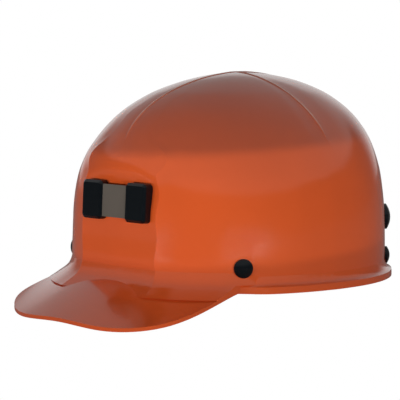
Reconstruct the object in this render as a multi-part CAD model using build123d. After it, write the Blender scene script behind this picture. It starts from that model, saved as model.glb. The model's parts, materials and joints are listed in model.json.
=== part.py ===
from build123d import *
from math import atan2, cos, degrees, hypot, pi, radians, sin, sqrt, tan
import os

# Miner's low-profile cap. Millimetres, +Z up, front of the cap at -Y, wearer's left at +X.
# Sizes are given in the cap's own frame (rim bottom at Z 0); stand() then sets it on the table.

# --- main sizes ---
CROWN_HEIGHT = 147.4      # rim bottom to apex, outside
HALF_WIDTH = 108.5        # wall at the rim, side
FRONT_REACH = 121.8       # wall at the rim, from the cap axis to the front
REAR_REACH = 111.7        # wall at the rim, from the cap axis to the rear
AXIS_Y = 2.0              # cap axis, where the four ridges meet
WALL = 2.5                # shell wall
FACET_HALF = 37.0         # half width of the flat front pad
FLANGE_OUT = 5.3          # rim flange beyond the wall
FLANGE_TALL = 4.6
BRIM_REACH = 49.6         # peak beyond the front wall
BRIM_SLOPE = 23.5         # degrees
BRIM_THICK = 2.6
BRIM_ABOVE = 5.0          # top of the peak above the rim bottom, at the wall

# Meridian curves: half width = reach * (1 - height share ** p) ** (1 / q)
SIDE_CURVE = (3.36, 1.64)
FRONT_CURVE = (5.48, 1.50)
REAR_CURVE = (5.59, 2.25)
PLAN_FRONT = (2.13, 1.85)  # plan exponent at the rim and at the crown
PLAN_REAR = (2.09, 2.15)
RIDGE_KINK = 12.0          # degrees each side of a ridge
BEAD_WIDE = 2.6            # small rounded bead along each ridge
BEAD_PROUD = 0.55
BEAD_FROM = 0.67           # height share where the beads start

# --- lamp bracket ---
BRACKET_HALF = 31.6
BLOCK_WIDE = 20.0
BLOCK_TALL = 27.0
BLOCK_PROUD = 6.0
PLATE_TALL = 22.5
PLATE_THICK = 1.6
PLATE_STANDOFF = 2.6
BRACKET_Z = 58.8
BRACKET_LEAN = 2.5        # degrees, top leans back

# --- rivets ---
RIVET_HEAD_R = 6.5
RIVET_HEAD_TALL = 4.2
RIVET_SHANK_R = 2.4
WASHER_R = 6.0
WASHER_THICK = 1.2

# --- suspension ---
BAND_GAP = 16.0           # headband inside the shell wall
BAND_TALL = 30.0
BAND_THICK = 1.8
BAND_LOW = 6.0
WEB_WIDE = 19.0
WEB_THICK = 1.4
WEB_RISE = 112.0          # top of the crossed straps
KEY_WIDE = 24.0
KEY_TALL = 26.0
NAPE_TALL = 24.0
NAPE_THICK = 1.8

BLOCK_X = BRACKET_HALF - BLOCK_WIDE / 2
SCREW_R = 2.0
KEY_ANGLES = (-30.0, -150.0, 30.0, 150.0)
KEY_IN = -5.6             # key tongue, from the shell's outer face inward
KEY_LOW = 9.0
TONGUE_THICK = 2.0
STRAP_END_Z = 36.0
HOLDER_Z = 41.0
HOLDER_TALL = 17.0
HOLDER_X = 72.0
GUIDE_Y = 14.0

# Heights of the lofted wall sections, as shares of the crown height, evenly spaced along the wall.
LEVELS = [0, 0.095, 0.19, 0.285, 0.38, 0.475, 0.565, 0.65, 0.72, 0.78, 0.83, 0.88, 0.92, 0.952,
          0.975, 0.989, 0.9965, 0.9988]


def smooth(t):
    t = max(0.0, min(1.0, t))
    return t * t * (3 - 2 * t)


def shares(z):
    """Wall at height z: share, then side, front and rear shares of the reach, plan exponents
    front and rear, ridge kink in degrees, and how strongly the front pad is creased."""
    f = max(0.0, min(LEVELS[-1], z / CROWN_HEIGHT))
    side, front, rear = ((1 - f ** p) ** (1 / q) for p, q in (SIDE_CURVE, FRONT_CURVE, REAR_CURVE))
    rise = smooth((f - 0.4) / 0.45)
    n_front = PLAN_FRONT[0] + (PLAN_FRONT[1] - PLAN_FRONT[0]) * rise
    n_rear = PLAN_REAR[0] + (PLAN_REAR[1] - PLAN_REAR[0]) * rise
    kink = RIDGE_KINK * smooth((f - 0.60) / 0.22)
    return f, side, front, rear, n_front, n_rear, kink, 1 - smooth((f - 0.56) / 0.15)


def quadrant(a, b, n, t):
    return a * cos(t) ** (2 / n) if t < pi / 2 else 0.0, b * abs(sin(t)) ** (2 / n)


def wall_xy(z, t, inset=0.0, front=True):
    """Point of the wall for X >= 0; t runs 0 at the side to pi/2 at the front or rear."""
    _, fa, ff, fr, nf, nr, _, crease = shares(z)
    a = HALF_WIDTH * fa - inset
    if not front:
        x, y = quadrant(a, REAR_REACH * fr - inset, nr, t)
        return x, AXIS_Y + y
    f = FRONT_REACH * ff - inset
    x, y = quadrant(a, f, nf, t)
    return x, AXIS_Y - y


def ring(z, at_z=None, inset=0.0, out=None):
    """Closed section wire; out(angle) adds an outward flare, angle 0 at the side, -90 front."""
    at_z = z if at_z is None else at_z
    _, fa, ff, fr, nf, nr, kink, crease = shares(z)
    a, f, r = HALF_WIDTH * fa - inset, FRONT_REACH * ff - inset, REAR_REACH * fr - inset

    def flare(x, y):
        if out is None:
            return Vector(x, y, at_z)
        ang = atan2(y - AXIS_Y, x)
        d = out(degrees(ang))
        return Vector(x + d * cos(ang), y + d * sin(ang), at_z)

    facet = FACET_HALF * min(1.0, f / (FRONT_REACH * 0.95)) * (0.5 + 0.5 * min(1.0, crease * 2))
    ridge = radians(kink)

    def front_y(x):
        return AXIS_Y - f * (1 - (min(x, a) / a) ** nf) ** (1 / nf)

    y_crease = front_y(facet) - 1.2 * crease
    f_out = (AXIS_Y - y_crease) / (1 - (facet / a) ** nf) ** (1 / nf)
    y_mid = y_crease - 0.6 * crease if crease > 0 else front_y(0.0)
    if 0 < crease < 1:
        y_mid = min(y_mid, front_y(0.0))
    pad = [(0.0, y_mid)]
    for k in range(1, 4):
        x = facet * k / 4
        flat = y_mid + (y_crease - y_mid) * (k / 4) ** 2
        pad.append((x, flat * crease + front_y(x) * (1 - crease)))
    pad.append((facet, y_crease))

    steps = 9
    x_ang = atan2(((AXIS_Y - y_crease) / f_out) ** (nf / 2), (facet / a) ** (nf / 2))
    side = [quadrant(a, f_out, nf, x_ang * (1 - k / steps)) for k in range(steps)] + [(a, 0.0)]
    side = [(x, AXIS_Y - y) for x, y in side]
    rear = [(a, 0.0)] + [quadrant(a, r, nr, pi / 2 * k / 9) for k in range(1, 9)] + [(0.0, r)]
    rear = [(x, AXIS_Y + y) for x, y in rear]

    def curve(points, start, end, mirror):
        pts = [flare(x, y) for x, y in points]
        tans = [start, end]
        for i, (p, q) in enumerate(((0, 1), (-1, -2))):
            if tans[i] is None:
                v = (pts[1] - pts[0]) if i == 0 else (pts[-1] - pts[-2])
                tans[i] = v.normalized()
        if mirror:
            pts = [Vector(-p.X, p.Y, p.Z) for p in reversed(pts)]
            tans = [Vector(t.X, -t.Y, 0) for t in reversed(tans)]
        return Spline(*pts, tangents=tans)

    e_front = Vector(cos(ridge), sin(ridge), 0)
    e_side0 = Vector(-sin(ridge), cos(ridge), 0) if kink else Vector(0, 1, 0)
    e_side_in = Vector(sin(ridge), cos(ridge), 0) if kink else Vector(0, 1, 0)
    e_rear = Vector(-cos(ridge), sin(ridge), 0)
    half = [(pad, e_front, None), (side, None, e_side_in), (rear, e_side0, e_rear)]
    edges = [curve(p, s, e, False) for p, s, e in half]
    edges += [curve(p, s, e, True) for p, s, e in reversed(half)]
    return Face(Wire(edges))


def slope_at(z):
    """Unit outward normal of the wall in a mean upright plane, as (outward, up)."""
    dz = CROWN_HEIGHT * 0.012
    lo, hi = shares(z - dz), shares(z + dz)
    span = min(z + dz, CROWN_HEIGHT) - max(z - dz, 0)
    dr = sum((lo[i] - hi[i]) * s for i, s in ((1, HALF_WIDTH), (2, FRONT_REACH), (3, REAR_REACH))) / 3
    h = hypot(dr, span)
    return span / h, dr / h


def dome(inset):
    """Solid inside the wall, moved in by inset measured square to the wall."""
    faces = []
    for level in LEVELS:
        z = level * CROWN_HEIGHT
        out, up = slope_at(z)
        inner = min(inset * out, HALF_WIDTH * shares(z)[1] * 0.3)
        faces.append(ring(z, at_z=z - inset * up, inset=inner))
    return loft(faces)


def front_share(angle):
    """1 across the front of the cap, 0 at the sides and rear, smooth between."""
    d = abs(((angle + 90) + 180) % 360 - 180)
    t = max(0.0, min(1.0, (d - 43) / 13))
    return 1 - t * t * (3 - 2 * t)


def flange():
    """Rim flange with its hollow fillet above."""
    steps = [(0.0, 1.0), (FLANGE_TALL * 0.5, 1.0), (FLANGE_TALL, 0.97)]
    rise = [(FLANGE_TALL + 0.4, 0.8), (FLANGE_TALL + 1.4, 0.48), (FLANGE_TALL + 3.2, 0.22),
            (FLANGE_TALL + 5.6, 0.06), (FLANGE_TALL + 9.0, -0.12)]

    def out(share):
        return lambda ang: FLANGE_OUT * share * (1 - 0.75 * front_share(ang)) - 0.3 * front_share(ang)

    low = loft([ring(0.0, at_z=z, out=out(s)) for z, s in steps], ruled=True)
    high = loft([ring(0.0, at_z=z, out=out(s)) for z, s in [steps[-1]] + rise])
    return low + high


def meridian(angle, out, low):
    """Points up the wall along a plan angle, moved out by out, as (distance from the axis, height)."""
    pts = []
    for k in range(8):
        share = low + (0.985 - low) * sin(pi / 2 * k / 7)
        z = share * CROWN_HEIGHT
        r, dz = reach(angle, z), 0.4
        r_up = reach(angle, z + dz)
        h = hypot(r - r_up, dz)
        pts.append((r + out * dz / h, z + out * (r - r_up) / h))
    return pts


def ridge_bead(angle):
    """Low bead over the crown along the ridges at a plan angle and its opposite."""
    def line(out):
        one, two = meridian(angle, out, BEAD_FROM), meridian(angle + 180, out, BEAD_FROM)
        top = [(0.0, CROWN_HEIGHT + out)]
        return [Vector(r, z, 0) for r, z in one] + [Vector(r, z, 0) for r, z in top] + [
            Vector(-r, z, 0) for r, z in reversed(two)]

    upper, lower = line(BEAD_PROUD), line(-1.6)
    upper[0], upper[-1] = lower[0] + (upper[0] - lower[0]) * 0.6, lower[-1] + (upper[-1] - lower[-1]) * 0.6
    edges = [Spline(*upper), Line(upper[-1], lower[-1]), Spline(*reversed(lower)), Line(lower[0], upper[0])]
    body = extrude(Plane.XZ * Face(Wire(edges)), BEAD_WIDE / 2, both=True)
    tops = [e for e in body.edges() if e.length > CROWN_HEIGHT and e.center().Z > CROWN_HEIGHT * 0.8]
    rounded = sorted(tops, key=lambda e: e.length)[-2:]
    return Pos(0, AXIS_Y, 0) * Rot(0, 0, angle) * fillet(rounded, BEAD_WIDE * 0.42)


def brim_zero(x):
    return AXIS_Y - FRONT_REACH * sqrt(max(0.0, 1 - (x / (HALF_WIDTH * 1.01)) ** 2))


def brim_fall(x):
    return tan(radians(BRIM_SLOPE)) * max(0.3, 1 - 0.379 * (x / 85.0) ** 4)


def brim_slab(top, thick):
    faces = []
    for k in range(-6, 7):
        x = HALF_WIDTH * 0.84 * k / 6
        y0, s = brim_zero(x), brim_fall(x)
        near, far = 45.0, 85.0
        pts = [(x, y0 + near, near * s + top), (x, y0 - far, -far * s + top),
               (x, y0 - far, -far * s + top - thick), (x, y0 + near, near * s + top - thick)]
        faces.append(Face(Wire.make_polygon([Vector(*p) for p in pts], close=True)))
    return loft(faces)


def brim_outline():
    y_tip = AXIS_Y - FRONT_REACH - BRIM_REACH
    w, r = HALF_WIDTH, BRIM_REACH
    half = [(0.0, y_tip), (0.351 * w, y_tip + 0.059 * r), (0.582 * w, y_tip + 0.294 * r),
            (0.73 * w, y_tip + 0.634 * r), (0.775 * w, y_tip + 1.244 * r), (0.78 * w, y_tip + 1.869 * r)]
    pts = [Vector(-x, y, 0) for x, y in reversed(half[1:])] + [Vector(x, y, 0) for x, y in half]
    arc = Spline(*pts)
    back = Polyline(pts[-1], (0.78 * w, AXIS_Y - 30, 0), (-0.78 * w, AXIS_Y - 30, 0), pts[0])
    return Face(Wire([arc] + back.edges()))


def brim():
    prism = Pos(0, 0, -60) * extrude(brim_outline(), 120)
    return brim_slab(BRIM_ABOVE, BRIM_THICK) & prism


def front_flare():
    """Hollow fillet from the wall down on to the peak."""
    steps = [(17.0, -0.4), (13.0, 0.25), (9.5, 1.4), (6.5, 3.2), (4.2, 5.6), (2.1, 8.6), (-0.1, 12.0),
             (-2.4, 16.0)]

    def out(d):
        return lambda ang: (d + 0.4) * front_share(ang) - 0.4

    flare = loft([ring(0.0, at_z=z, out=out(d)) for z, d in reversed(steps)])
    split = 6.0
    high = flare & (Pos(0, -130, split + 20) * Box(400, 200, 40))
    low = flare & (Pos(0, 0, split - 60) * extrude(brim_outline(), 60))
    return high + low


def shell(outer, room):
    body = outer + flange() + front_flare() + brim() + ridge_bead(0) + ridge_bead(90)
    below = Pos(0, 0, -60) * extrude(ring(0.0, at_z=0.0, inset=WALL - 0.12), 61.2)
    ahead = Pos(0, -HALF_WIDTH * 1.5 - 62, 0) * Box(400, HALF_WIDTH * 3, 300)
    under = brim_slab(BRIM_ABOVE - BRIM_THICK, 40) & ahead
    under -= extrude(ring(0.0, at_z=0.0, out=lambda ang: FLANGE_OUT * (1 - front_share(ang)) + 0.05), 60)
    body = max((body - room - below - under).solids(), key=lambda solid: solid.volume)
    for at in rivet_places() + holder_places():
        body -= at * Cylinder(RIVET_SHANK_R + 0.1, 40)
    for side in (-1, 1):
        body -= bracket_at() * Pos(side * BLOCK_X, 0, 0) * Rot(90, 0, 0) * Cylinder(SCREW_R + 0.1, 20)
    for ang in KEY_ANGLES:
        boss = key_at(ang) * Pos(0, 0, KEY_LOW + KEY_TALL / 2 + 2) * Box(18, KEY_WIDE + 8, KEY_TALL)
        slot = key_at(ang) * Pos(KEY_IN, 0, KEY_LOW + KEY_TALL / 2 - 10) * Box(
            TONGUE_THICK + 0.6, KEY_WIDE + 0.6, KEY_TALL + 18)
        keep = key_at(ang) * Pos(KEY_IN + 41.5 - 3.2, 0, 0) * Box(83, 60, 200)
        body += (boss & keep) & outer
        body -= slot
    return body


def reach(angle, z, inset=0.0):
    """Distance from the cap axis to the wall along a plan angle (0 side, 90 rear)."""
    front = sin(radians(angle)) < 0
    want = abs(tan(radians(angle)))
    lo, hi = 0.0, pi / 2
    for _ in range(40):
        mid = (lo + hi) / 2
        x, y = wall_xy(z, mid, inset, front)
        if abs(y - AXIS_Y) < want * x:
            lo = mid
        else:
            hi = mid
    x, y = wall_xy(z, lo, inset, front)
    return hypot(x, y - AXIS_Y)


def wall_spot(x, z, front):
    """Location on the outer wall at side position x, local Z pointing out of the wall."""
    side = 1 if x > 0 else -1
    lo, hi = 0.0, pi / 2
    for _ in range(40):
        mid = (lo + hi) / 2
        if wall_xy(z, mid, 0.0, front)[0] > abs(x):
            lo = mid
        else:
            hi = mid
    p = Vector(*wall_xy(z, lo, 0.0, front), z)
    along = Vector(*wall_xy(z, lo + 0.02, 0.0, front), z) - Vector(*wall_xy(z, lo - 0.02, 0.0, front), z)
    up = Vector(*wall_xy(z + 3, lo, 0.0, front), z + 3) - Vector(*wall_xy(z - 3, lo, 0.0, front), z - 3)
    out = along.cross(up).normalized()
    if out.X * p.X + out.Y * (p.Y - AXIS_Y) < 0:
        out = out * -1
    p, out = Vector(side * p.X, p.Y, z), Vector(side * out.X, out.Y, out.Z)
    return Plane(origin=p, x_dir=Vector(0, 0, 1).cross(out), z_dir=out).location


def rivet_places():
    return ([wall_spot(s * HALF_WIDTH * 0.775, 17.1, True) for s in (-1, 1)]
            + [wall_spot(s * HALF_WIDTH * 0.72, 13.0, False) for s in (-1, 1)])


def holder_places():
    return [wall_spot(s * HOLDER_X, HOLDER_Z, False) for s in (-1, 1)]


def dome_head(radius, tall, sink):
    """Low domed head on local Z, reaching sink below the surface."""
    crown = tall * 0.55
    ball = (radius ** 2 + crown ** 2) / (2 * crown)
    cap = Pos(0, 0, tall - ball) * Sphere(ball)
    post = Pos(0, 0, (tall - sink) / 2) * Cylinder(radius, tall + sink)
    return post & cap


def rivet(at, skin):
    head = (at * dome_head(RIVET_HEAD_R, RIVET_HEAD_TALL, 3.0)) - skin
    shank = at * Pos(0, 0, -3) * Cylinder(RIVET_SHANK_R, 8.0)
    tail = at * Pos(0, 0, -WALL - WASHER_THICK - 1.1) * Cylinder(RIVET_SHANK_R * 1.6, 1.6)
    return head + shank + tail


def washer(at, room):
    ring_solid = Cylinder(WASHER_R, 4.0) - Cylinder(RIVET_SHANK_R + 0.1, 4.0)
    body = at * Pos(0, 0, -WALL - WASHER_THICK - 0.3 + 2.0) * ring_solid
    return body & room


def bracket_at():
    y = ring_front(BRACKET_Z)
    return Pos(0, y, BRACKET_Z) * Rot(-BRACKET_LEAN, 0, 0)


def ring_front(z):
    """Y of the front pad at height z."""
    _, _, ff, _, nf, _, _, crease = shares(z)
    f = FRONT_REACH * ff
    return AXIS_Y - f * (1 - (FACET_HALF / HALF_WIDTH) ** nf) ** (1 / nf) - 1.8 * crease


def lamp_block(side, outer):
    deep = BLOCK_PROUD + 6
    body = Pos(side * BLOCK_X, 6 - deep / 2, 0) * Box(BLOCK_WIDE, deep, BLOCK_TALL)
    face = body.faces().sort_by(Axis.Y)[0]
    ends = body.edges().filter_by(Axis.Y)
    body = fillet(ends, 3.0)
    face = body.faces().sort_by(Axis.Y)[0]
    body = chamfer(face.edges(), 1.8)
    inner = side * (BRACKET_HALF - BLOCK_WIDE)
    groove = Pos(inner, -PLATE_STANDOFF - PLATE_THICK / 2, 0) * Box(7.0, PLATE_THICK, PLATE_TALL)
    bore = Pos(side * BLOCK_X, 0, 0) * Rot(90, 0, 0) * Cylinder(SCREW_R, 7.0)
    return bracket_at() * (body - groove - bore) - outer


def lamp_plate():
    wide = 2 * (BRACKET_HALF - BLOCK_WIDE) + 7.0
    plate = Box(wide, PLATE_THICK, PLATE_TALL)
    plate = fillet(plate.edges().filter_by(Axis.Y), 1.2)
    return bracket_at() * Pos(0, -PLATE_STANDOFF - PLATE_THICK / 2, 0) * plate


def bracket_screw(side):
    shank = Pos(0, 1.0, 0) * Rot(90, 0, 0) * Cylinder(SCREW_R, 8.8)
    head = Pos(0, 5.6 + 0.35, 0) * Rot(90, 0, 0) * Cylinder(4.2, 2.0)
    slot = Pos(0, 6.9, 0) * Box(6.0, 1.0, 1.0)
    body = shank + head - slot
    return bracket_at() * Pos(side * BLOCK_X, 0.0, 0) * body


def cord_holder(outer):
    band = Pos(0, 0, -HOLDER_TALL / 2) * extrude(ring(HOLDER_Z, at_z=HOLDER_Z, out=lambda a: 3.0), HOLDER_TALL)
    keep = Pos(0, 150, HOLDER_Z) * Box(2 * HOLDER_X, 180, HOLDER_TALL)
    body = band & keep
    body += Pos(0, AXIS_Y + REAR_REACH + 5.5, HOLDER_Z) * fillet(Box(30, 13, HOLDER_TALL).edges().filter_by(Axis.Z), 4)
    for at in holder_places():
        body += at * dome_head(9.5, 5.6, 6.0)
    passage = fillet(Box(19, 7.0, 40).edges().filter_by(Axis.Z), 3)
    body -= Pos(0, AXIS_Y + REAR_REACH + 5.3, HOLDER_Z) * passage
    body -= outer
    for at in holder_places():
        body -= at * Pos(0, 0, 0.5) * Cylinder(RIVET_SHANK_R, 5.0)
    return body


def holder_rivet(at):
    shank = at * Pos(0, 0, -1.75) * Cylinder(RIVET_SHANK_R, 9.5)
    tail = at * Pos(0, 0, -WALL - WASHER_THICK - 1.3) * Cylinder(RIVET_SHANK_R * 1.6, 1.6)
    return shank + tail


def band_ring(inset, thick, low, tall):
    outer = extrude(ring(0.0, at_z=low, inset=inset), tall)
    return outer - Pos(0, 0, -1) * extrude(ring(0.0, at_z=low, inset=inset + thick), tall + 2)


def headband():
    body = band_ring(BAND_GAP, BAND_THICK, BAND_LOW, BAND_TALL)
    back = Pos(0, GUIDE_Y + 12 + 100, BAND_LOW + BAND_TALL / 2) * Box(300, 200, BAND_TALL + 2)
    body -= back
    for side in (-1, 1):
        for k in range(5):
            body -= Pos(side * 90, -30 + 12 * k, BAND_LOW + BAND_TALL / 2) * Rot(0, 90, 0) * Cylinder(2.2, 40)
    return body


def brow_pad():
    pad = band_ring(BAND_GAP + BAND_THICK + 0.3, 3.2, BAND_LOW - 1.5, BAND_TALL + 3)
    keep = Pos(0, -110, 20) * Box(126, 110, 60)
    return pad & keep


TAIL_IN = 26.0


def nape_strap():
    low, tall = BAND_LOW + 3.0, NAPE_TALL
    arc = band_ring(TAIL_IN, NAPE_THICK, low, tall)
    arc &= Pos(0, GUIDE_Y + 14 + 100, low + tall / 2) * Box(300, 200, tall + 2)
    body = arc
    for side in (-1, 1):
        xe = side * (tail_x() + NAPE_THICK / 2)
        body += Pos(xe, GUIDE_Y + 14.5 - 30, low + tall / 2) * Box(NAPE_THICK, 61, tall - 6)
        for k in range(5):
            body -= Pos(xe, GUIDE_Y - 38 + 8 * k, low + tall / 2) * Rot(0, 90, 0) * Cylinder(1.6, 6)
    return body


def tail_x():
    """Inner face X of the straight nape tails: where the rear arc meets them."""
    lo, hi = 0.0, pi / 2
    for _ in range(40):
        mid = (lo + hi) / 2
        if wall_xy(0.0, mid, TAIL_IN + NAPE_THICK, False)[1] < GUIDE_Y + 14.3:
            lo = mid
        else:
            hi = mid
    return wall_xy(0.0, lo, TAIL_IN + NAPE_THICK, False)[0]


def nape_guide(side):
    """Loop on the headband that the nape tail slides through."""
    low, tall = BAND_LOW + 6.0, NAPE_TALL - 6
    x_in = tail_x() - 2.2
    body = Pos(side * (x_in + 12.5), GUIDE_Y, low + tall / 2) * Box(25, 12, tall + 5)
    gap = Pos(side * (tail_x() + NAPE_THICK / 2), GUIDE_Y, low + tall / 2) * Box(NAPE_THICK + 0.5, 14, tall + 0.5)
    room = extrude(ring(0.0, at_z=0, inset=BAND_GAP + BAND_THICK + 0.2), 60)
    return (body & room) - gap


def key_at(angle):
    """Location at the wall by a suspension key: local X points out of the cap."""
    r = reach(angle, KEY_LOW + KEY_TALL / 2)
    a = radians(angle)
    return Pos(r * cos(a), AXIS_Y + r * sin(a), 0) * Rot(0, 0, angle)


def key(angle):
    tongue = Pos(KEY_IN, 0, KEY_LOW + (KEY_TALL - 4) / 2 - 1) * Box(TONGUE_THICK, KEY_WIDE, KEY_TALL - 4)
    tongue = fillet(tongue.edges().group_by(Axis.Z)[-1].filter_by(Axis.X), 3)
    arm_in = -BAND_GAP - 3.0
    low = KEY_LOW - 7.0
    arm = Pos((KEY_IN + 1 + arm_in) / 2, 0, low + 3.25) * Box(KEY_IN + 1 - arm_in, KEY_WIDE, 6.5)
    arm &= key_at(angle).inverse() * extrude(ring(0.0, at_z=-5, inset=WALL + 0.6), 60)
    back = Pos(arm_in + 6.9, 0, low + 19) * Box(2.5, KEY_WIDE, 38)
    body = key_at(angle) * (tongue + arm + back)
    return body - extrude(ring(0.0, at_z=-5, inset=BAND_GAP), 60)


def strap(angle, lift):
    """One webbing strap from a front key over the head to the rear key opposite."""
    ends = [reach(a, KEY_LOW + KEY_TALL / 2) - BAND_GAP + 2.6 for a in (angle, angle + 180)]
    mid, half = (ends[0] - ends[1]) / 2, (ends[0] + ends[1]) / 2
    rise = WEB_RISE + lift - STRAP_END_Z

    face = (Ellipse(half, rise) - Ellipse(half - WEB_THICK, rise - WEB_THICK)) & (
        Pos(0, rise / 2) * Rectangle(3 * half, rise))
    legs = [Pos(s * (half - WEB_THICK / 2), -9) * Rectangle(WEB_THICK, 18.2) for s in (-1, 1)]
    profile = face + legs[0] + legs[1]
    body = extrude(Plane.XZ * profile, WEB_WIDE / 2, both=True)
    a = radians(angle)
    return Pos(mid * cos(a), AXIS_Y + mid * sin(a), STRAP_END_Z) * Rot(0, 0, angle) * body


def crown_disc():
    return Pos(0, AXIS_Y, WEB_RISE - WEB_THICK - 1.6) * Cylinder(10.5, 1.6)


def stand():
    """Cap frame to table: peak edge and rear rim both touch Z 0."""
    tip_y = AXIS_Y - FRONT_REACH - BRIM_REACH
    tip_z = BRIM_ABOVE - BRIM_THICK - BRIM_REACH * tan(radians(BRIM_SLOPE))
    rear_y = AXIS_Y + REAR_REACH + FLANGE_OUT
    pitch = atan2(-tip_z, rear_y - tip_y)
    return Rot(-degrees(pitch), 0, 0)


def main():
    os.makedirs("parts", exist_ok=True)
    outer, room = dome(0.0), dome(WALL)
    skin = outer + flange() + front_flare()
    parts = {"shell": shell(outer, room)}
    names = ("right_front", "left_front", "right_rear", "left_rear")
    for name, at in zip(names, rivet_places()):
        parts["rivet_" + name] = rivet(at, skin)
        parts["washer_" + name] = washer(at, room)
    for name, side in (("right", -1), ("left", 1)):
        parts["lamp_block_" + name] = lamp_block(side, outer)
        parts["lamp_screw_" + name] = bracket_screw(side)
    parts["lamp_plate"] = lamp_plate()
    parts["cord_holder"] = cord_holder(outer)
    for name, at in zip(("right", "left"), holder_places()):
        parts["holder_rivet_" + name] = holder_rivet(at)
        parts["holder_washer_" + name] = washer(at, room)
    parts["headband"] = headband()
    parts["brow_pad"] = brow_pad()
    for name, ang in zip(("left_front", "right_front", "left_rear", "right_rear"), KEY_ANGLES):
        parts["key_" + name] = key(ang)
    parts["strap_lower"] = strap(KEY_ANGLES[0], 0.0)
    parts["strap_upper"] = strap(KEY_ANGLES[1], WEB_THICK + 0.55)
    parts["crown_disc"] = crown_disc()
    for name, side in (("right", -1), ("left", 1)):
        parts["nape_guide_" + name] = nape_guide(side)
    parts["nape_strap"] = nape_strap()

    tilt = stand()
    box = (tilt * parts["shell"]).bounding_box()
    rear = (tilt * parts["cord_holder"]).bounding_box()
    y_max = max(box.max.Y, rear.max.Y)
    place = Pos(0, -(box.min.Y + y_max) / 2, -box.min.Z) * tilt
    for name, part in parts.items():
        export_step(place * part, f"parts/{name}.step")


if __name__ == "__main__":
    main()
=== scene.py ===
# Miner's cap: looks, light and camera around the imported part.
import bisect
import json
import math

import bpy
from mathutils import Euler, Matrix, Vector
from mathutils.bvhtree import BVHTree

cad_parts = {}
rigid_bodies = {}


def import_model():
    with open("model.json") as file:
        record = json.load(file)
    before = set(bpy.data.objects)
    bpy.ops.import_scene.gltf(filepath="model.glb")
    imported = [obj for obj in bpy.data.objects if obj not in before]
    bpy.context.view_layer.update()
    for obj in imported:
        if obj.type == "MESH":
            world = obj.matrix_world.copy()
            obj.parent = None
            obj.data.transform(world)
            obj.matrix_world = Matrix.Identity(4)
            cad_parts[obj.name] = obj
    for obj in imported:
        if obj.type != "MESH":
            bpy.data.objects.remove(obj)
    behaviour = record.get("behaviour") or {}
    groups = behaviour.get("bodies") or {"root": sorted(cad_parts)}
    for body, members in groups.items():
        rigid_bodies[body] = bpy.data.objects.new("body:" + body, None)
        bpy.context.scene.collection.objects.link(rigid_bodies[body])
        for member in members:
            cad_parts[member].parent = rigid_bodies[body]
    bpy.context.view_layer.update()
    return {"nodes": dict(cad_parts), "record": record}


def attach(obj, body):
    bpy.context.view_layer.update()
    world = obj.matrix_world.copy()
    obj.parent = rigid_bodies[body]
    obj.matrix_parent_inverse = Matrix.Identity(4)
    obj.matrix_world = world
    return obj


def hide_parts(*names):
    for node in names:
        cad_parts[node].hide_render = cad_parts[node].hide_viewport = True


for item in list(bpy.data.objects):
    bpy.data.objects.remove(item)

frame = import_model()
nodes = frame["nodes"]
print("frame loaded", len(nodes))


def emptyMaterial(name):
    mat = bpy.data.materials.new(name)
    mat.use_nodes = True
    tree = mat.node_tree
    tree.nodes.clear()
    return mat, tree, tree.nodes.new("ShaderNodeOutputMaterial")


def newMaterial(name):
    mat, tree, out = emptyMaterial(name)
    out.location = (900, 0)
    shader = tree.nodes.new("ShaderNodeBsdfPrincipled")
    shader.location = (600, 0)
    tree.links.new(shader.outputs["BSDF"], out.inputs["Surface"])
    return mat, tree, shader


# Noise sizes are per metre; a scratch shows where its noise crosses the narrow range.
marksLook = {"broad": 26, "broadDetail": 4, "fine": 900, "fineDetail": 3, "scratch": 90, "scratchDetail": 8,
             "scratchBend": 2.5, "scratchRange": (0.497, 0.503), "broadShare": 0.6}


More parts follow.
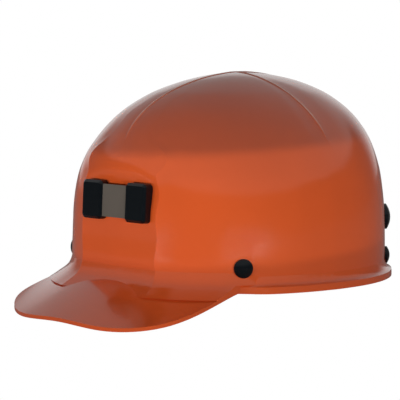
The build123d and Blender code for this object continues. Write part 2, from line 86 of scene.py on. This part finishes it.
def surfaceMarks(look):
    group = bpy.data.node_groups.new("surfaceMarks", "ShaderNodeTree")
    face = group.interface
    for name in ("Scale", "Amount"):
        face.new_socket(name=name, in_out="INPUT", socket_type="NodeSocketFloat").default_value = 1.0
    for name in ("Rough", "Height", "Tone"):
        face.new_socket(name=name, in_out="OUTPUT", socket_type="NodeSocketFloat")
    add, link = group.nodes.new, group.links.new
    start = add("NodeGroupInput")
    start.location = (-900, 0)
    end = add("NodeGroupOutput")
    end.location = (700, 0)
    coords = add("ShaderNodeTexCoord")
    coords.location = (-900, -300)
    size = add("ShaderNodeVectorMath")
    size.operation = "SCALE"
    size.location = (-700, -200)
    link(coords.outputs["Object"], size.inputs[0])
    link(start.outputs["Scale"], size.inputs["Scale"])
    broad = add("ShaderNodeTexNoise")
    broad.inputs["Scale"].default_value = look["broad"]
    broad.inputs["Detail"].default_value = look["broadDetail"]
    broad.location = (-450, 200)
    fine = add("ShaderNodeTexNoise")
    fine.inputs["Scale"].default_value = look["fine"]
    fine.inputs["Detail"].default_value = look["fineDetail"]
    fine.location = (-450, -50)
    scratch = add("ShaderNodeTexNoise")
    scratch.inputs["Scale"].default_value = look["scratch"]
    scratch.inputs["Distortion"].default_value = look["scratchBend"]
    scratch.inputs["Detail"].default_value = look["scratchDetail"]
    scratch.location = (-450, -300)
    for tex in (broad, fine, scratch):
        link(size.outputs["Vector"], tex.inputs["Vector"])
    crossing = add("ShaderNodeMapRange")
    crossing.location = (-200, -300)
    for socket, value in zip(("From Min", "From Max"), look["scratchRange"]):
        crossing.inputs[socket].default_value = value
    link(scratch.outputs["Fac"], crossing.inputs["Value"])
    line = add("ShaderNodeMath")
    line.operation = "PINGPONG"
    line.inputs[1].default_value = 0.5
    line.location = (0, -300)
    link(crossing.outputs["Result"], line.inputs[0])
    both = add("ShaderNodeMath")
    both.operation = "MULTIPLY_ADD"
    both.inputs[1].default_value = look["broadShare"]
    both.location = (200, 100)
    link(broad.outputs["Fac"], both.inputs[0])
    link(line.outputs["Value"], both.inputs[2])
    rough = add("ShaderNodeMath")
    rough.operation = "MULTIPLY"
    rough.location = (450, 150)
    link(both.outputs["Value"], rough.inputs[0])
    link(start.outputs["Amount"], rough.inputs[1])
    height = add("ShaderNodeMath")
    height.operation = "MULTIPLY"
    height.location = (450, -100)
    link(fine.outputs["Fac"], height.inputs[0])
    link(start.outputs["Amount"], height.inputs[1])
    link(rough.outputs["Value"], end.inputs["Rough"])
    link(height.outputs["Value"], end.inputs["Height"])
    link(broad.outputs["Fac"], end.inputs["Tone"])
    return group


marksGroup = surfaceMarks(marksLook)


def plastic(name, look):
    mat, tree, shader = newMaterial(name)
    marks = tree.nodes.new("ShaderNodeGroup")
    marks.node_tree = marksGroup
    marks.location = (-300, 0)
    marks.inputs["Scale"].default_value = look.get("markScale", 1.0)
    marks.inputs["Amount"].default_value = look.get("marks", 1.0)
    ramp = tree.nodes.new("ShaderNodeMix")
    ramp.data_type = "RGBA"
    ramp.location = (0, 250)
    ramp.inputs["A"].default_value = (*look["shade"], 1)
    ramp.inputs["B"].default_value = (*look["colour"], 1)
    tree.links.new(marks.outputs["Tone"], ramp.inputs["Factor"])
    tree.links.new(ramp.outputs["Result"], shader.inputs["Base Color"])
    rough = tree.nodes.new("ShaderNodeMapRange")
    rough.location = (0, 0)
    rough.inputs["To Min"].default_value = look["rough"]
    rough.inputs["To Max"].default_value = look["rough"] + look.get("roughSpread", 0.08)
    tree.links.new(marks.outputs["Rough"], rough.inputs["Value"])
    tree.links.new(rough.outputs["Result"], shader.inputs["Roughness"])
    bump = tree.nodes.new("ShaderNodeBump")
    bump.location = (300, -250)
    bump.inputs["Strength"].default_value = look.get("bump", 0.05)
    bump.inputs["Distance"].default_value = look.get("bumpDepth", 0.0002)
    tree.links.new(marks.outputs["Height"], bump.inputs["Height"])
    tree.links.new(bump.outputs["Normal"], shader.inputs["Normal"])
    shader.inputs["IOR"].default_value = look.get("ior", 1.5)
    shader.inputs["Specular IOR Level"].default_value = look.get("shine", 0.5)
    shader.inputs["Metallic"].default_value = look.get("metallic", 0.0)
    shader.inputs["Coat Weight"].default_value = look.get("coat", 0.0)
    shader.inputs["Coat Roughness"].default_value = look.get("coatRough", 0.05)
    shader.inputs["Subsurface Weight"].default_value = look.get("glow", 0.0)
    shader.inputs["Subsurface Radius"].default_value = look.get("glowReach", (0.003, 0.001, 0.0005))
    return mat


shellLook = {"colour": (0.76, 0.108, 0.020), "shade": (0.70, 0.098, 0.018), "rough": 0.15,
             "roughSpread": 0.08, "bump": 0.02, "coat": 0.30, "coatRough": 0.05}
blackLook = {"colour": (0.0012, 0.0034, 0.0055), "shade": (0.0008, 0.0024, 0.0040), "rough": 0.24,
             "shine": 0.35, "roughSpread": 0.12, "bump": 0.06}
plateLook = {"colour": (0.20, 0.17, 0.14), "shade": (0.15, 0.13, 0.11), "rough": 0.38,
             "metallic": 0.35, "bump": 0.12, "markScale": 1.5}
steelLook = {"colour": (0.55, 0.55, 0.56), "shade": (0.42, 0.42, 0.44), "rough": 0.3, "metallic": 1.0,
             "bump": 0.08}
bandLook = {"colour": (0.62, 0.60, 0.54), "shade": (0.52, 0.50, 0.44), "rough": 0.42, "bump": 0.1,
            "glow": 0.1}

# Painted highlight: a paler line along the two beads that cross at the crown stands in for the glint on
# their crests; lengths in metres.
ridgeHighlightLook = {"half": 0.0015, "soft": 0.0015, "from": 0.112, "fade": 0.02, "colour": (0.92, 0.46, 0.34),
             "amount": 0.8}
headMount = next(m for m in frame["record"]["mounts"] if m["name"] == "head")


# Mixes the painted highlight colour into the shell's base colour on the outside of the bead crests, above
# the crown line.
def addPaintedRidgeHighlight(mat, look):
    tree = mat.node_tree
    add, link = tree.nodes.new, tree.links.new
    shader = next(n for n in tree.nodes if n.type == "BSDF_PRINCIPLED")
    paint = shader.inputs["Base Color"].links[0].from_socket
    up = Vector(headMount["axis"]) * -1
    coords = add("ShaderNodeTexCoord")
    fromFoot = add("ShaderNodeVectorMath")
    fromFoot.operation = "SUBTRACT"
    fromFoot.inputs[1].default_value = headMount["pos_m"]
    link(coords.outputs["Object"], fromFoot.inputs[0])
    masks = []
    for across in (Vector((1, 0, 0)), up.cross(Vector((1, 0, 0)))):
        away = add("ShaderNodeVectorMath")
        away.operation = "DOT_PRODUCT"
        away.inputs[1].default_value = across
        link(fromFoot.outputs["Vector"], away.inputs[0])
        size = add("ShaderNodeMath")
        size.operation = "ABSOLUTE"
        link(away.outputs["Value"], size.inputs[0])
        near = add("ShaderNodeMapRange")
        near.interpolation_type = "SMOOTHSTEP"
        near.inputs["From Min"].default_value = look["half"] - look["soft"]
        near.inputs["From Max"].default_value = look["half"]
        near.inputs["To Min"].default_value, near.inputs["To Max"].default_value = 1.0, 0.0
        link(size.outputs["Value"], near.inputs["Value"])
        masks.append(near.outputs["Result"])
    either = add("ShaderNodeMath")
    either.operation = "MAXIMUM"
    link(masks[0], either.inputs[0])
    link(masks[1], either.inputs[1])
    height = add("ShaderNodeVectorMath")
    height.operation = "DOT_PRODUCT"
    height.inputs[1].default_value = up
    link(coords.outputs["Object"], height.inputs[0])
    high = add("ShaderNodeMapRange")
    high.inputs["From Min"].default_value = look["from"]
    high.inputs["From Max"].default_value = look["from"] + look["fade"]
    high.inputs["To Max"].default_value = look["amount"]
    link(height.outputs["Value"], high.inputs["Value"])
    facing = add("ShaderNodeVectorMath")
    facing.operation = "DOT_PRODUCT"
    link(coords.outputs["Normal"], facing.inputs[0])
    link(fromFoot.outputs["Vector"], facing.inputs[1])
    outer = add("ShaderNodeMath")      # the skin's outside only
    outer.operation = "GREATER_THAN"
    outer.inputs[1].default_value = 0.0
    link(facing.outputs["Value"], outer.inputs[0])
    crest = add("ShaderNodeMath")
    crest.operation = "MULTIPLY"
    link(either.outputs["Value"], crest.inputs[0])
    link(outer.outputs["Value"], crest.inputs[1])
    # Strength of the painted highlight: bead crest times the fade-in above the crown line.
    paintedHighlight = add("ShaderNodeMath")
    paintedHighlight.operation = "MULTIPLY"
    link(crest.outputs["Value"], paintedHighlight.inputs[0])
    link(high.outputs["Result"], paintedHighlight.inputs[1])
    mix = add("ShaderNodeMix")
    mix.data_type = "RGBA"
    mix.inputs["B"].default_value = (*look["colour"], 1)
    link(paintedHighlight.outputs["Value"], mix.inputs["Factor"])
    link(paint, mix.inputs["A"])
    link(mix.outputs["Result"], shader.inputs["Base Color"])


shellMat = plastic("shellPlastic", shellLook)
addPaintedRidgeHighlight(shellMat, ridgeHighlightLook)
blackMat = plastic("blackPlastic", blackLook)
plateMat = plastic("bracketMetal", plateLook)
steelMat = plastic("zincSteel", steelLook)
bandMat = plastic("bandPlastic", bandLook)


# What every woven cloth shares; "wave" gives one thread for each step of the checks.
weaveLook = {"wave": 0.314, "waveDetail": 2.0, "fuzz": 0.9, "fuzzDetail": 6, "fuzzShare": 0.35,
             "rough": (0.72, 0.94), "depth": 0.0003, "sheen": 0.3}


def woven(name, look):
    mat, tree, shader = newMaterial(name)
    add, link = tree.nodes.new, tree.links.new
    coords = add("ShaderNodeTexCoord")
    fit = add("ShaderNodeMapping")
    fit.inputs["Scale"].default_value = (*look["threads"], 1)
    link(coords.outputs["UV"], fit.inputs["Vector"])
    waves = []
    for direction in ("X", "Y"):
        wave = add("ShaderNodeTexWave")
        wave.bands_direction = direction
        wave.inputs["Scale"].default_value = weaveLook["wave"]
        wave.inputs["Distortion"].default_value = look["unevenness"]
        wave.inputs["Detail Scale"].default_value = weaveLook["waveDetail"]
        link(fit.outputs["Vector"], wave.inputs["Vector"])
        waves.append(wave)
    weave = add("ShaderNodeTexChecker")
    weave.inputs["Scale"].default_value = 1.0
    link(fit.outputs["Vector"], weave.inputs["Vector"])
    over = add("ShaderNodeMix")
    link(weave.outputs["Fac"], over.inputs["Factor"])
    link(waves[0].outputs["Fac"], over.inputs["A"])
    link(waves[1].outputs["Fac"], over.inputs["B"])
    fuzz = add("ShaderNodeTexNoise")
    fuzz.inputs["Scale"].default_value = weaveLook["fuzz"]
    fuzz.inputs["Detail"].default_value = weaveLook["fuzzDetail"]
    link(fit.outputs["Vector"], fuzz.inputs["Vector"])
    height = add("ShaderNodeMath")
    height.operation = "MULTIPLY_ADD"
    height.inputs[1].default_value = weaveLook["fuzzShare"]
    link(fuzz.outputs["Fac"], height.inputs[0])
    link(over.outputs["Result"], height.inputs[2])
    tone = add("ShaderNodeMix")
    tone.data_type = "RGBA"
    tone.inputs["A"].default_value = (*look["shade"], 1)
    tone.inputs["B"].default_value = (*look["colour"], 1)
    link(height.outputs["Value"], tone.inputs["Factor"])
    link(tone.outputs["Result"], shader.inputs["Base Color"])
    rough = add("ShaderNodeMapRange")
    rough.inputs["To Min"].default_value, rough.inputs["To Max"].default_value = weaveLook["rough"]
    link(fuzz.outputs["Fac"], rough.inputs["Value"])
    link(rough.outputs["Result"], shader.inputs["Roughness"])
    bump = add("ShaderNodeBump")
    bump.inputs["Strength"].default_value = look["bump"]
    bump.inputs["Distance"].default_value = weaveLook["depth"]
    link(height.outputs["Value"], bump.inputs["Height"])
    link(bump.outputs["Normal"], shader.inputs["Normal"])
    shader.inputs["Sheen Weight"].default_value = weaveLook["sheen"]
    return mat


webLook = {"colour": (0.060, 0.060, 0.066), "shade": (0.010, 0.010, 0.012), "threads": (340, 20),
           "unevenness": 0.5, "bump": 0.7}
browLook = {"colour": (0.050, 0.050, 0.056), "shade": (0.008, 0.008, 0.010), "threads": (190, 42),
            "unevenness": 0.8, "bump": 0.6}
threadLook = {"colour": (0.50, 0.50, 0.48), "shade": (0.32, 0.32, 0.30), "rough": 0.7, "bump": 0.3,
              "bumpDepth": 0.0001, "markScale": 3.0}
webMat = woven("webbing", webLook)
browMat = woven("browCloth", browLook)
threadMat = plastic("stitchThread", threadLook)

slotMats = {"shell_plastic": shellMat, "black_plastic": blackMat, "bracket_metal": plateMat,
            "trim_metal": steelMat, "suspension_plastic": bandMat, "webbing": webMat,
            "brow_fabric": browMat}
for part in frame["record"]["subparts"]:
    node = nodes[part["node"]]
    node.data.materials.clear()
    node.data.materials.append(slotMats[part["material_slot"]])
print("materials", len(slotMats))


capTilt = math.atan2(-headMount["axis"][1], -headMount["axis"][2])
toCap = Matrix.Rotation(capTilt, 3, "X")      # from the table's frame to the cap's own upright frame
fromCap = toCap.inverted()


def pickOnly(obj):
    bpy.ops.object.select_all(action="DESELECT")
    obj.select_set(True)
    bpy.context.view_layer.objects.active = obj


def nodePoints(name):
    return [toCap @ v.co for v in nodes[name].data.vertices]


def span(values):
    return (min(values) + max(values)) / 2, max(values) - min(values)


def runLengths(points):
    lengths = [0.0]
    for a, b in zip(points, points[1:]):
        lengths.append(lengths[-1] + (b - a).length)
    return lengths


def placeOnRun(lengths, run):
    run = max(0.0, min(run, lengths[-1]))
    k = min(max(bisect.bisect_right(lengths, run), 1), len(lengths) - 1)
    return k, (run - lengths[k - 1]) / (lengths[k] - lengths[k - 1])


def faceOutwards():
    bpy.ops.object.mode_set(mode="EDIT")
    bpy.ops.mesh.select_all(action="SELECT")
    bpy.ops.mesh.normals_make_consistent(inside=False)
    bpy.ops.object.mode_set(mode="OBJECT")


strapLook = {"leg": 0.0181, "thick": 0.0014, "along": 150, "across": 8, "edge": 0.0003, "edgeSteps": 2,
             "crown": 0.00015, "trim": 0.0004, "slack": 0.0003, "steps": 240}
stitchLook = {"long": 0.0024, "thick": 0.00035, "broad": 1.6, "gap": 0.0034, "margin": 0.0030,
              "rows": 5, "end": 0.004, "sink": 0.0001, "slant": 0.6}


def strapShape(name):
    # The strap's line: an upright leg at each end and half an ellipse between them.
    pts = nodePoints(name)
    n = len(pts)
    cx, cy = sum(p.x for p in pts) / n, sum(p.y for p in pts) / n
    xx = sum((p.x - cx) ** 2 for p in pts)
    yy = sum((p.y - cy) ** 2 for p in pts)
    xy = sum((p.x - cx) * (p.y - cy) for p in pts)
    guess = 0.5 * math.atan2(2 * xy, xx - yy)
    cloud = [p.to_2d() for p in pts]

    def spread(turn):
        side = Vector((-math.sin(turn), math.cos(turn)))
        return span([p.dot(side) for p in cloud])[1]

    turn = min((guess + math.radians(k / 10) for k in range(-100, 101)), key=spread)   # the narrowest way
    along = Vector((math.cos(turn), math.sin(turn), 0))
    across = Vector((-math.sin(turn), math.cos(turn), 0))
    mid, reach = span([p.dot(along) for p in pts])
    side, wide = span([p.dot(across) for p in pts])
    zs = [p.z for p in pts]
    half = reach / 2 - strapLook["thick"] / 2
    base = min(zs) + strapLook["leg"]
    rise = max(zs) - base - strapLook["thick"] / 2
    line = [Vector((half, min(zs)))]
    for step in range(strapLook["steps"] + 1):
        t = math.pi * step / strapLook["steps"]
        line.append(Vector((half * math.cos(t), base + rise * math.sin(t))))
    line.append(Vector((-half, min(zs))))
    return {"line": line, "lengths": runLengths(line), "along": along, "across": across, "mid": mid,
            "side": side, "wide": wide}


def onStrap(shape, run, side, lift):
    line = shape["line"]
    k, share = placeOnRun(shape["lengths"], run)
    point = line[k - 1].lerp(line[k], share)
    way = (line[k] - line[k - 1]).normalized()
    outward = Vector((way.y, -way.x)) * lift
    flat = point + outward
    place = shape["along"] * (shape["mid"] + flat.x) + shape["across"] * (shape["side"] + side)
    return fromCap @ (place + Vector((0, 0, flat.y)))


def makeStrap(name):
    shape = strapShape(name)
    total = shape["lengths"][-1]
    bpy.ops.object.select_all(action="DESELECT")
    bpy.ops.mesh.primitive_grid_add(x_subdivisions=strapLook["along"], y_subdivisions=strapLook["across"],
                                    size=1, calc_uvs=True)
    strap = bpy.context.object
    strap.name = name + "_webbing"
    for v in strap.data.vertices:
        crown = strapLook["crown"] * (1 - (2 * v.co.y) ** 2)
        v.co = onStrap(shape, (v.co.x + 0.5) * total, v.co.y * (shape["wide"] - strapLook["trim"]), crown)
    wall = strap.modifiers.new("wall", "SOLIDIFY")
    wall.thickness = strapLook["thick"] - strapLook["slack"]
    wall.offset = 0
    edge = strap.modifiers.new("edge", "BEVEL")
    edge.width = strapLook["edge"]
    edge.segments = strapLook["edgeSteps"]
    for modifier in ("wall", "edge"):
        bpy.ops.object.modifier_apply(modifier=modifier)
    faceOutwards()
    bpy.ops.object.shade_smooth_by_angle(angle=math.radians(40))
    strap.data.materials.append(webMat)
    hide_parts(name)
    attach(strap, "suspension")
    print(name, "webbing length", round(total, 4), "width", round(shape["wide"], 4))
    return shape


def stitchRows(shape, start, way):
    # A sewn box with a diagonal: each place is run, side and how far the stitch is turned.
    half = shape["wide"] / 2 - stitchLook["margin"]
    gap = stitchLook["gap"]
    deep = gap * (stitchLook["rows"] - 1)
    places = []
    for k in range(stitchLook["rows"]):
        run = start + way * k * gap
        places += [(run, -half, 0.0), (run, half, 0.0)]
    count = int(2 * half / gap)
    for k in range(count):
        side = -half + (k + 0.5) * 2 * half / count
        places += [(start, side, 1.0), (start + way * deep, side, 1.0)]
        places.append((start + way * deep * (k + 0.5) / count, side, stitchLook["slant"]))
    return places


def makeStitches(name, shape):
    total = shape["lengths"][-1]
    bpy.ops.object.select_all(action="DESELECT")
    bpy.ops.mesh.primitive_uv_sphere_add(segments=8, ring_count=5, radius=0.5)
    seed = bpy.context.object
    thick = stitchLook["thick"]
    bpy.ops.transform.resize(value=(stitchLook["long"], thick * stitchLook["broad"], thick))
    bpy.ops.object.transform_apply(location=True, rotation=True, scale=True)
    lift = strapLook["thick"] / 2 - stitchLook["sink"]
    copies = []
    for start, way in ((stitchLook["end"], 1), (total - stitchLook["end"], -1)):
        for run, side, turned in stitchRows(shape, start, way):
            copy = seed.copy()
            copy.data = seed.data.copy()
            bpy.context.collection.objects.link(copy)
            foot = onStrap(shape, run, side, lift)
            up = (onStrap(shape, run, side, lift + 0.001) - foot).normalized()
            ahead = (onStrap(shape, run + 0.0004, side, lift) - foot).normalized()
            thread = (ahead * (1 - turned) + up.cross(ahead) * turned).normalized()
            turn = Matrix((thread, up.cross(thread), up)).transposed().to_4x4()
            copy.data.transform(Matrix.Translation(foot) @ turn)
            copies.append(copy)
    bpy.data.objects.remove(seed)
    bpy.ops.object.select_all(action="DESELECT")
    for copy in copies:
        copy.select_set(True)
    bpy.context.view_layer.objects.active = copies[0]
    bpy.ops.object.join()
    piece = bpy.context.object
    piece.name = name + "_stitches"
    bpy.ops.object.shade_smooth()
    piece.data.materials.append(threadMat)
    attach(piece, "suspension")


# The cushion is blown up flat at "scale" times its size and then laid on the headband.
padLook = {"along": 132, "across": 30, "blank": 0.10, "channels": 7, "pressure": 3.0, "steps": 18,
           "swell": 0.16, "thick": 0.0032, "inset": 0.0006, "scale": 10, "seamDepth": 0.35,
           "mass": 0.3, "quality": 6, "endMargin": 0.0008, "rayStep": 0.6, "rays": 120, "rayBack": 0.03}


def browLine():
    pts = nodePoints("brow_pad")
    tree = BVHTree.FromPolygons([tuple(p) for p in pts],
                                [tuple(f.vertices) for f in nodes["brow_pad"].data.polygons])
    middleZ, tall = span([p.z for p in pts])
    farX = max(p.x for p in pts)
    centre = Vector((0, max(p.y for p in pts) + padLook["rayBack"], middleZ))
    inner = []
    for step in range(-padLook["rays"], padLook["rays"] + 1):
        angle = -math.pi / 2 + math.radians(step * padLook["rayStep"])
        aim = Vector((math.cos(angle), math.sin(angle), 0))
        hit = tree.ray_cast(centre, aim)
        if hit[0] is not None and abs(hit[0].x) < farX - padLook["endMargin"]:
            inner.append((hit[0], aim))
    line = []
    for k, (point, aim) in enumerate(inner):
        before, after = inner[max(0, k - 1)][0], inner[min(len(inner) - 1, k + 1)][0]
        way = (after - before).normalized()
        out = Vector((way.y, -way.x, 0))
        if out.dot(aim) < 0:
            out = -out
        line.append((point + out * padLook["thick"] / 2, out))
    return line, middleZ, tall - 2 * padLook["inset"]


def makeBrowPad():
    line, middleZ, tall = browLine()
    lengths = runLengths([point for point, out in line])
    total, scale = lengths[-1], padLook["scale"]
    halfLong, halfTall = total * scale / 2, tall * scale / 2
    bpy.ops.object.select_all(action="DESELECT")
    bpy.ops.mesh.primitive_grid_add(x_subdivisions=padLook["along"], y_subdivisions=padLook["across"],
                                    size=1, calc_uvs=True)
    pad = bpy.context.object
    pad.name = "browCushion"
    pad.scale = (total * scale, tall * scale, 1)
    bpy.ops.object.transform_apply(scale=True)
    wall = pad.modifiers.new("wall", "SOLIDIFY")
    wall.thickness = padLook["blank"]
    wall.offset = 0
    bpy.ops.object.modifier_apply(modifier="wall")
    cell = total * scale / padLook["along"]
    pitch = total * scale / padLook["channels"]
    seams = pad.vertex_groups.new(name="seams")
    pinned = []
    for v in pad.data.vertices:
        nearest = abs((v.co.x / pitch + 0.5 * (padLook["channels"] % 2)) % 1.0)
        nearest = min(nearest, 1 - nearest) * pitch
        rim = min(halfLong - abs(v.co.x), halfTall - abs(v.co.y))
        if nearest < cell * 0.55 or rim < cell * 0.6:
            pinned.append(v.index)
    for index in pinned:
        pad.data.vertices[index].co.z *= padLook["seamDepth"]
    seams.add(pinned, 1.0, "REPLACE")
    cloth = pad.modifiers.new("fill", "CLOTH")
    cloth.settings.quality = padLook["quality"]
    cloth.settings.mass = padLook["mass"]
    cloth.settings.vertex_group_mass = "seams"
    cloth.settings.use_pressure = True
    cloth.settings.uniform_pressure_force = padLook["pressure"]
    cloth.settings.effector_weights.gravity = 0
    for step in range(1, padLook["steps"] + 1):
        bpy.context.scene.frame_set(step)
    pickOnly(pad)
    bpy.ops.object.modifier_apply(modifier="fill")
    bpy.context.scene.frame_set(1)
    for v in pad.data.vertices:
        x, y, z = (max(-most, min(most, value))
                   for value, most in zip(v.co, (halfLong, halfTall, padLook["swell"])))
        k, share = placeOnRun(lengths, x / scale + total / 2)
        point = line[k - 1][0].lerp(line[k][0], share)
        out = line[k - 1][1].lerp(line[k][1], share).normalized()
        place = point - out * z / scale
        place.z = middleZ + y / scale
        v.co = fromCap @ place
    faceOutwards()
    finer = pad.modifiers.new("finer", "SUBSURF")
    finer.levels = finer.render_levels = 1
    bpy.ops.object.modifier_apply(modifier="finer")
    bpy.ops.object.shade_smooth()
    pad.data.materials.append(browMat)
    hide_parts("brow_pad")
    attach(pad, "suspension")
    print("brow cushion", round(total, 4), round(tall, 4))


for strapName in ("strap_lower", "strap_upper"):
    makeStitches(strapName, makeStrap(strapName))
makeBrowPad()
print("soft pieces ready")

# The room: pale floor, white sweep behind, dim walls toward the camera and a soft ceiling. Two rings of
# gauze round the cap thin the light on its crown and near the floor.
studio = {"front": 0.11, "ceiling": 0.46, "backdrop": 0.85, "dim": 0.35, "below": 0.95,
          "ceilingEnds": (0.31, 0.37), "backEnds": (0.72, 0.96), "belowEnds": (-0.12, -0.02),
          "floorSize": 3.0, "floorDrop": 0.0002, "paper": 0.9, "flagAway": 0.24,
          "upperFrom": 0.103, "upperTall": 0.4, "upperPass": 0.52,
          "lowerFrom": 0.001, "lowerTo": 0.036, "lowerPass": 0.74}
lights = {"keyLight": {"place": (1.35, -0.55, 0.06), "size": (0.9, 0.05), "power": 11.0},
          "fillLight": {"place": (-0.25, -1.4, 0.06), "size": (0.8, 0.05), "power": 8.5}}
lightAim = (0, 0, 0.07)
view = {"azimuth": 44.031, "elevation": 7.225, "distance": 1.2, "turn": -2.0, "lens": 148.27,
        "sensor": 36, "shift": (-0.0299, -0.0397), "aim": (0, 0.003, 0.0772)}
az, el = math.radians(view["azimuth"]), math.radians(view["elevation"])
toCamera = Vector((math.sin(az) * math.cos(el), -math.cos(az) * math.cos(el), math.sin(el)))


def smoothRange(tree, source, ends, values):
    step = tree.nodes.new("ShaderNodeMapRange")
    step.interpolation_type = "SMOOTHSTEP"
    step.inputs["From Min"].default_value, step.inputs["From Max"].default_value = ends
    step.inputs["To Min"].default_value, step.inputs["To Max"].default_value = values
    tree.links.new(source, step.inputs["Value"])
    return step.outputs["Result"]


def blendValues(tree, share, low, high):
    mix = tree.nodes.new("ShaderNodeMix")
    for value, socket in ((low, "A"), (high, "B"), (share, "Factor")):
        if isinstance(value, float):
            mix.inputs[socket].default_value = value
        else:
            tree.links.new(value, mix.inputs[socket])
    return mix.outputs["Result"]


def studioWorld(look):
    world = bpy.data.worlds.new("studio")
    bpy.context.scene.world = world
    world.use_nodes = True
    tree = world.node_tree
    shine = tree.nodes["Background"]
    coords = tree.nodes.new("ShaderNodeTexCoord")
    split = tree.nodes.new("ShaderNodeSeparateXYZ")
    tree.links.new(coords.outputs["Generated"], split.inputs["Vector"])
    behind = tree.nodes.new("ShaderNodeVectorMath")
    behind.operation = "DOT_PRODUCT"
    tree.links.new(coords.outputs["Generated"], behind.inputs[0])
    behind.inputs[1].default_value = (-math.sin(az), math.cos(az), 0)
    sweep = smoothRange(tree, behind.outputs["Value"], look["backEnds"], (0.0, 1.0))
    wall = blendValues(tree, sweep, look["front"], look["backdrop"])
    over = smoothRange(tree, split.outputs["Z"], look["ceilingEnds"], (0.0, 1.0))
    upper = blendValues(tree, over, wall, look["ceiling"])
    path = tree.nodes.new("ShaderNodeLightPath")
    quiet = tree.nodes.new("ShaderNodeMath")
    quiet.operation = "MULTIPLY"
    tree.links.new(upper, quiet.inputs[0])
    quiet.inputs[1].default_value = look["dim"]
    upper = blendValues(tree, path.outputs["Is Diffuse Ray"], upper, quiet.outputs["Value"])
    under = smoothRange(tree, split.outputs["Z"], look["belowEnds"], (1.0, 0.0))
    whole = blendValues(tree, under, upper, look["below"])
    seen = blendValues(tree, path.outputs["Is Camera Ray"], whole, 1.0)
    tree.links.new(seen, shine.inputs["Strength"])
    shine.inputs["Color"].default_value = (1, 1, 1, 1)


def studioFloor(look):
    bpy.ops.object.select_all(action="DESELECT")
    bpy.ops.mesh.primitive_circle_add(vertices=96, radius=look["floorSize"], fill_type="NGON",
                                      location=(0, 0, -look["floorDrop"]))
    bpy.ops.object.transform_apply(location=True)
    floor = bpy.context.object
    floor.name = "studioFloor"
    mat, tree, out = emptyMaterial("palePaper")
    paper = tree.nodes.new("ShaderNodeBsdfDiffuse")
    paper.inputs["Color"].default_value = (look["paper"], look["paper"], look["paper"], 1)
    bright = tree.nodes.new("ShaderNodeEmission")
    clear = tree.nodes.new("ShaderNodeBsdfTransparent")
    path = tree.nodes.new("ShaderNodeLightPath")
    side = tree.nodes.new("ShaderNodeNewGeometry")
    seen = tree.nodes.new("ShaderNodeMixShader")
    under = tree.nodes.new("ShaderNodeMixShader")
    link = tree.links.new
    link(path.outputs["Is Camera Ray"], seen.inputs["Fac"])
    link(paper.outputs["BSDF"], seen.inputs[1])
    link(bright.outputs["Emission"], seen.inputs[2])
    link(side.outputs["Backfacing"], under.inputs["Fac"])
    link(seen.outputs["Shader"], under.inputs[1])
    link(clear.outputs["BSDF"], under.inputs[2])
    link(under.outputs["Shader"], out.inputs["Surface"])
    floor.data.materials.append(mat)


def studioFlag(name, look, low, high, passes):
    bpy.ops.object.select_all(action="DESELECT")
    bpy.ops.mesh.primitive_cylinder_add(vertices=96, radius=look["flagAway"], depth=high - low,
                                        end_fill_type="NOTHING", location=(0, 0, (low + high) / 2))
    bpy.ops.object.transform_apply(location=True)
    flag = bpy.context.object
    flag.name = name
    mat, tree, out = emptyMaterial(name + "Gauze")
    gauze = tree.nodes.new("ShaderNodeBsdfTransparent")
    gauze.inputs["Color"].default_value = (passes, passes, passes, 1)
    tree.links.new(gauze.outputs["BSDF"], out.inputs["Surface"])
    flag.data.materials.append(mat)
    flag.visible_camera = flag.visible_glossy = flag.visible_diffuse = False


def softLight(name, look):
    bpy.ops.object.light_add(type="AREA", location=look["place"])
    lamp = bpy.context.object
    lamp.name = name
    lamp.data.shape = "RECTANGLE"
    lamp.data.size, lamp.data.size_y = look["size"]
    lamp.data.energy = look["power"]
    lamp.visible_glossy = False
    lamp.rotation_euler = (Vector(lightAim) - Vector(look["place"])).to_track_quat("-Z", "Y").to_euler()


studioWorld(studio)
studioFloor(studio)
studioFlag("upperFlag", studio, studio["upperFrom"], studio["upperFrom"] + studio["upperTall"],
           studio["upperPass"])
studioFlag("lowerFlag", studio, studio["lowerFrom"], studio["lowerTo"], studio["lowerPass"])
for lightName, light in lights.items():
    softLight(lightName, light)
print("studio ready")

bpy.ops.object.camera_add(location=Vector(view["aim"]) + toCamera * view["distance"])
camera = bpy.context.object
roll = Euler((0, 0, math.radians(view["turn"]))).to_quaternion()
camera.rotation_mode = "QUATERNION"
camera.rotation_quaternion = (-toCamera).to_track_quat("-Z", "Y") @ roll
camera.data.lens = view["lens"]
camera.data.sensor_width = view["sensor"]
camera.data.shift_x, camera.data.shift_y = view["shift"]
bpy.context.scene.camera = camera
bpy.context.scene.view_settings.view_transform = "Standard"
bpy.context.scene.view_settings.look = "None"
